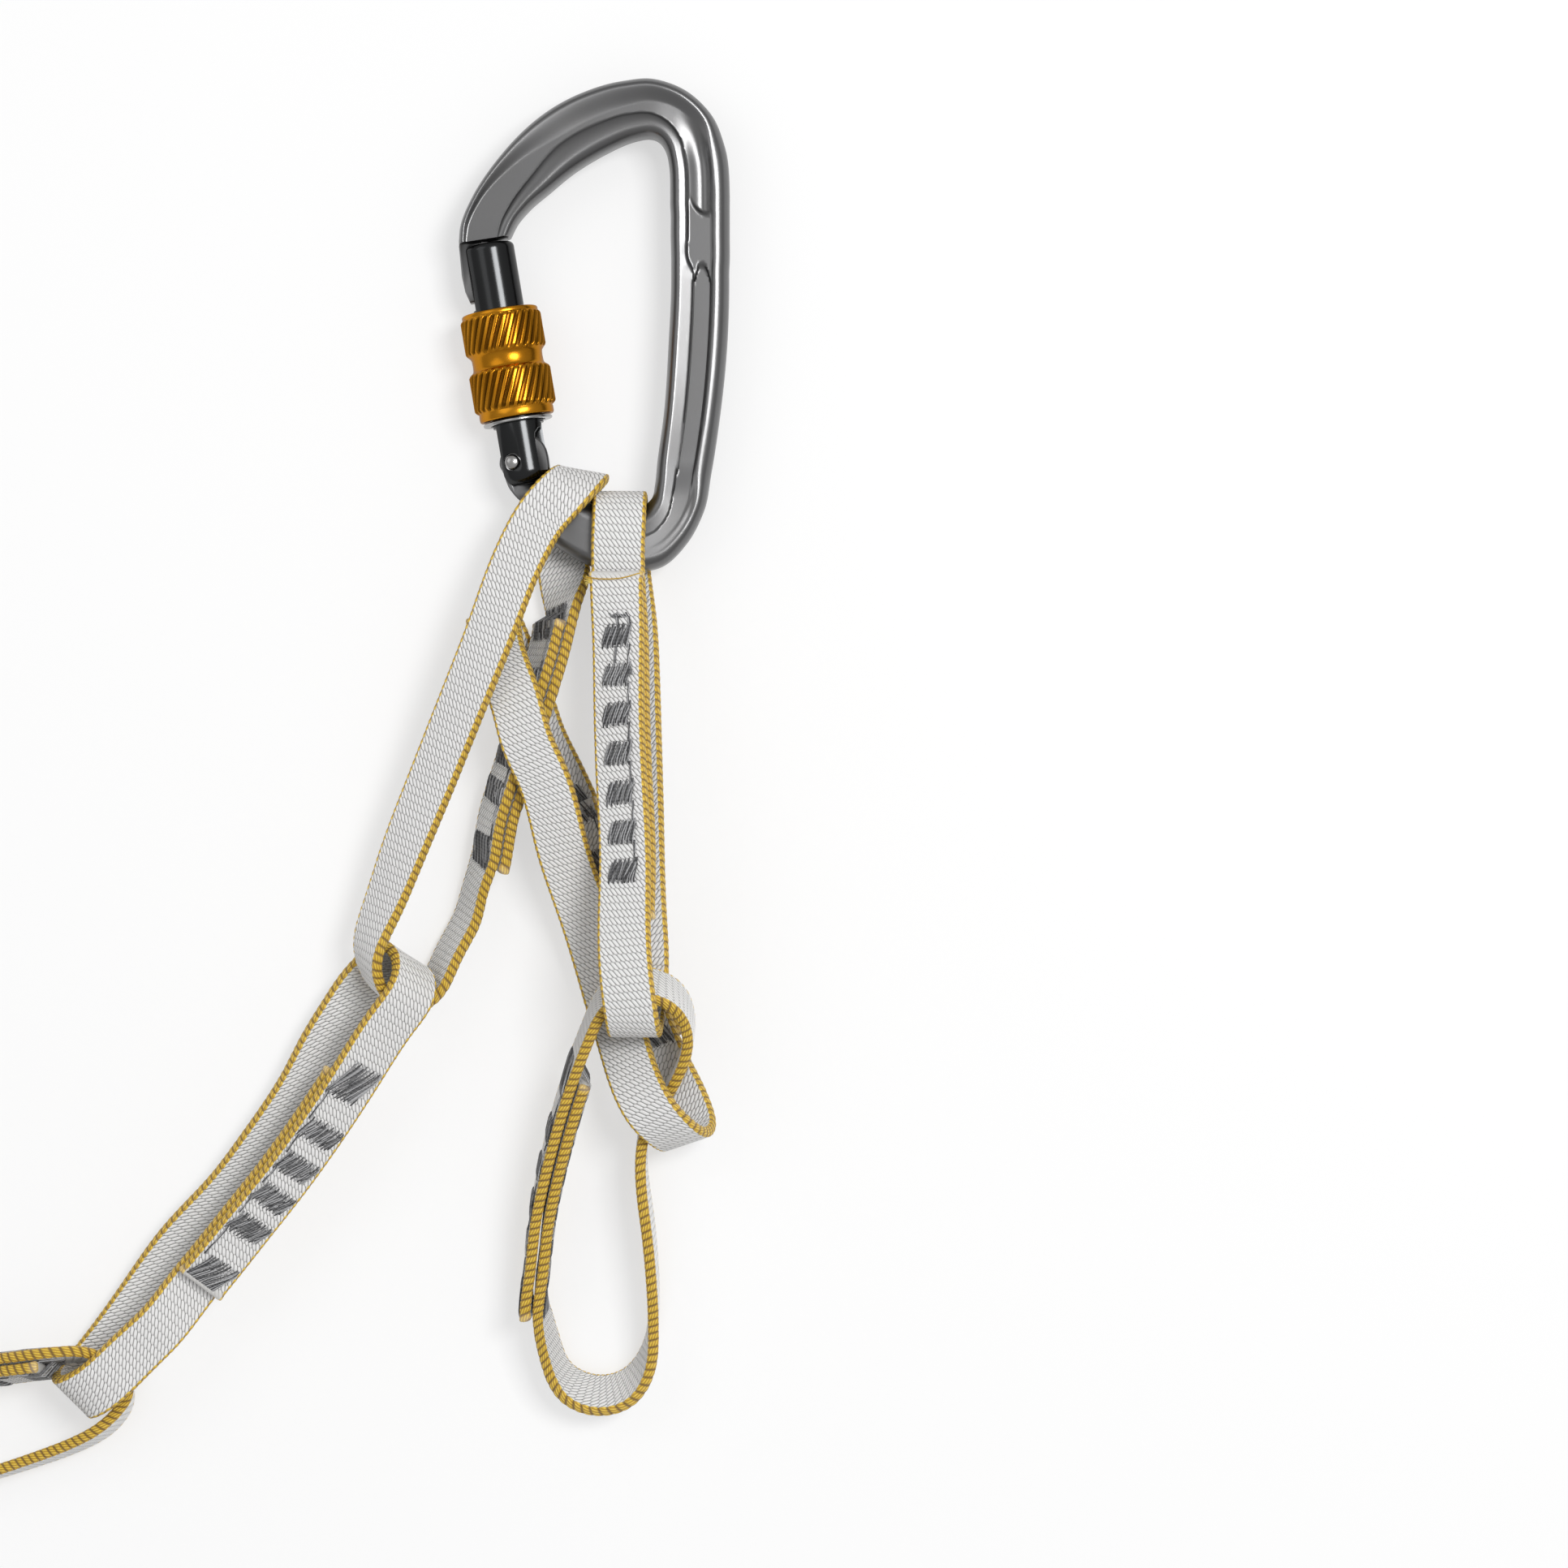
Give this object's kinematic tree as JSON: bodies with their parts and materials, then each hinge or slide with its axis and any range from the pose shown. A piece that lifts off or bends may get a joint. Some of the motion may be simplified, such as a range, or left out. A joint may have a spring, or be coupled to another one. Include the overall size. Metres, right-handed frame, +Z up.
{
  "type": "personal anchor chain",
  "caption": "Chain of sewn webbing loops, each passed through the next, with a screw-gate carabiner at one end, for clipping a climber short or long to an anchor.",
  "frame": {"origin": "middle of the footprint, on the table that the chain lies on", "axes": "+Z up from the table, +Y towards the top of the carabiner, +X to the right seen from above with the carabiner's spine on the right"},
  "size_m": [0.2337, 0.2929, 0.0318],
  "materials": {
    "tape": "off-white woven tape with a golden-yellow selvedge on both edges",
    "thread": "dark grey sewing thread in zigzag bars",
    "aluminium": "satin clear anodised forging",
    "gunmetal": "dark gunmetal anodised",
    "orange": "orange-gold anodised, knurled",
    "steel": "bright steel"
  },
  "bodies": {
    "carabiner": {"carabiner_body": "aluminium", "hinge_rivet": "steel"},
    "gate": {"gate_barrel": "gunmetal", "gate_spring": "steel"},
    "plunger": {"gate_plunger": "steel"},
    "thread_ring": {"sleeve_ring": "steel"},
    "sleeve": {"locking_sleeve": "orange"},
    "loop_1": {"loop_1_tape": "tape", "loop_1_stitching_outer": "thread", "loop_1_stitching_inner": "thread"},
    "loop_2": {"loop_2_tape": "tape", "loop_2_stitching_outer": "thread", "loop_2_stitching_inner": "thread"},
    "loop_3": {"loop_3_tape": "tape", "loop_3_stitching_outer": "thread", "loop_3_stitching_inner": "thread"},
    "loop_4": {"loop_4_tape": "tape", "loop_4_stitching_outer": "thread", "loop_4_stitching_inner": "thread"},
    "loop_5": {"loop_5_tape": "tape", "loop_5_stitching_outer": "thread", "loop_5_stitching_inner": "thread"},
    "loop_6": {"loop_6_tape": "tape", "loop_6_stitching_outer": "thread", "loop_6_stitching_inner": "thread"}
  },
  "joints": [
    {"name": "gate_hinge", "type": "hinge", "parent": "carabiner", "child": "gate", "pos_m": [0.0725, 0.0678, 0.0084], "axis": [0, 0, 1], "range_deg": [-28, 0], "stiffness_Nm_per_rad": 0.4, "springref_deg": 14.32},
    {"name": "plunger_slide", "type": "slide", "parent": "gate", "child": "plunger", "axis": [-0.1668, 0.986, 0], "range_m": [0, 0.00193], "deforming": ["gate_spring"]},
    {"name": "sleeve_travel", "type": "slide", "parent": "gate", "child": "thread_ring", "axis": [-0.1668, 0.986, 0], "range_m": [0, 0.0158]},
    {"name": "sleeve_spin", "type": "hinge", "parent": "thread_ring", "child": "sleeve", "pos_m": [0.07477, 0.06818, 0.0084], "axis": [-0.1668, 0.986, 0], "range_deg": [0, 1080]},
    {"name": "loop_1_swing", "type": "hinge", "parent": "carabiner", "child": "loop_1", "pos_m": [0.0909, 0.0536, 0.0084], "axis": [0.9903, -0.1392, 0], "range_deg": [-5, 5]},
    {"name": "loop_4_swing", "type": "hinge", "parent": "carabiner", "child": "loop_4", "pos_m": [0.0909, 0.0536, 0.0084], "axis": [0.9903, -0.1392, 0], "range_deg": [-5, 5]},
    {"name": "loop_2_turn", "type": "hinge", "parent": "loop_1", "child": "loop_2", "pos_m": [0.0984, -0.0439, 0.021], "axis": [0, -0.5, 0.866], "range_deg": [-5, 0.8]},
    {"name": "loop_3_roll", "type": "hinge", "parent": "loop_4", "child": "loop_3", "pos_m": [0.0709, 0.0291, 0.007], "axis": [-0.3484, 0.9366, -0.0362], "range_deg": [-1.5, 6]},
    {"name": "loop_5_swing", "type": "hinge", "parent": "loop_4", "child": "loop_5", "pos_m": [0.0469, -0.0379, 0.01], "axis": [-0.7006, 0.509, 0.5], "range_deg": [-18, 12]},
    {"name": "loop_6_swing", "type": "hinge", "parent": "loop_5", "child": "loop_6", "pos_m": [-0.0111, -0.1184, 0.0095], "axis": [0, 0, 1], "range_deg": [-9, 3.5]}
  ],
  "couplings": [
    {"joint": "plunger_slide", "follows": "gate_hinge", "m_per_rad": -0.0039},
    {"joint": "sleeve_spin", "follows": "sleeve_travel", "rad_per_m": 1193},
    {"joint": "loop_4_swing", "follows": "loop_1_swing", "ratio": 1}
  ]
}
